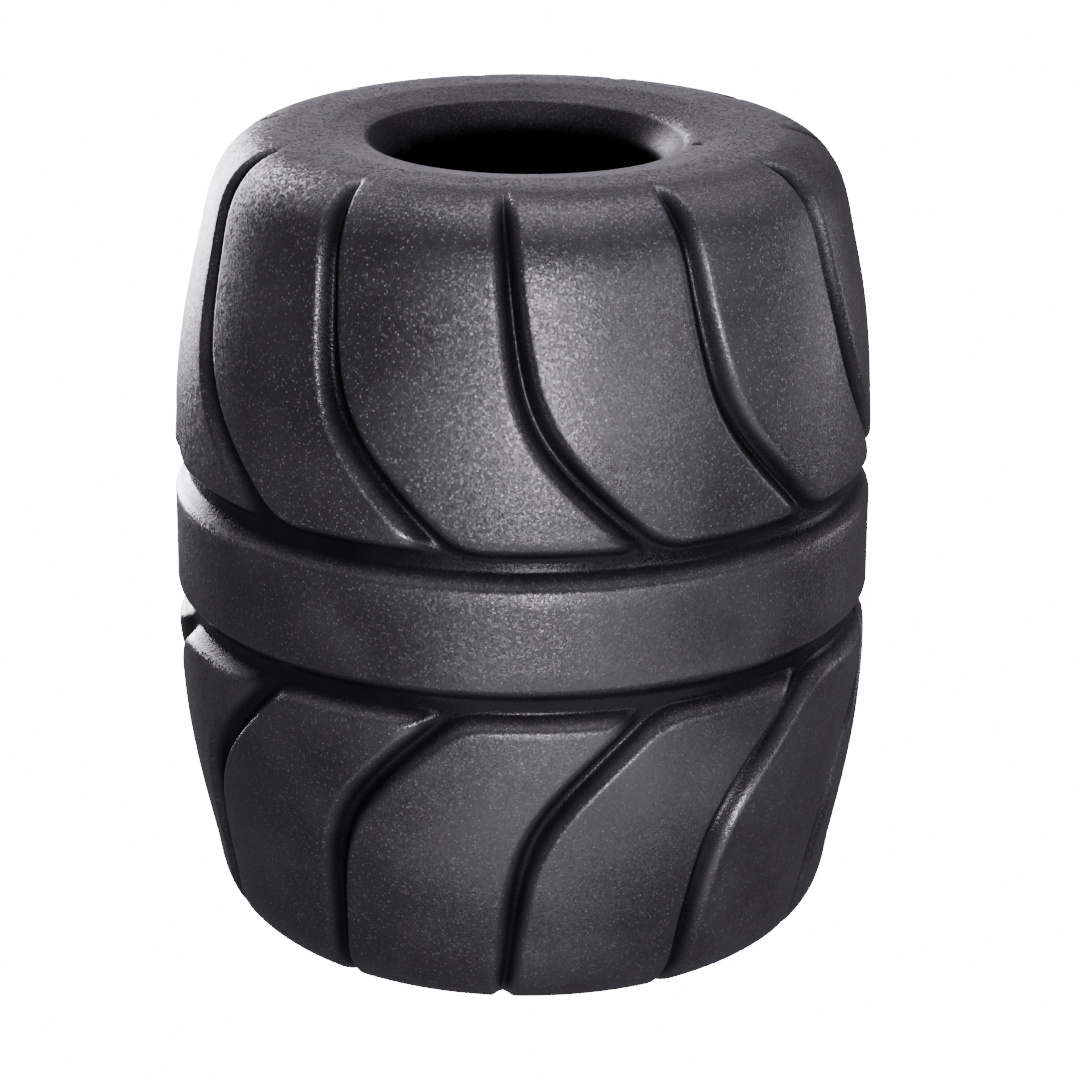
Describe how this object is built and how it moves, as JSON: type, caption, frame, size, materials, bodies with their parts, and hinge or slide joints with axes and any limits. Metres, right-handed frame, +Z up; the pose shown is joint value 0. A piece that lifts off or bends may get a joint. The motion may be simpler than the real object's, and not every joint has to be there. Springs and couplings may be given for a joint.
{
  "type": "treaded elastomer sleeve",
  "caption": "Barrel-shaped soft sleeve with a flared bore right through it, and curved tread grooves above and below a plain middle band.",
  "frame": {"origin": "middle of the bottom resting face, on the bore's axis", "axes": "+Z up along the bore; -Y faces the front, where one upper tread groove lies almost on the centre line"},
  "size_m": [0.0428, 0.0428, 0.05],
  "materials": {
    "elastomer": "satin moulded skin with fine pale specks"
  },
  "bodies": {
    "root": {"tread_sleeve": "elastomer"}
  },
  "joints": []
}
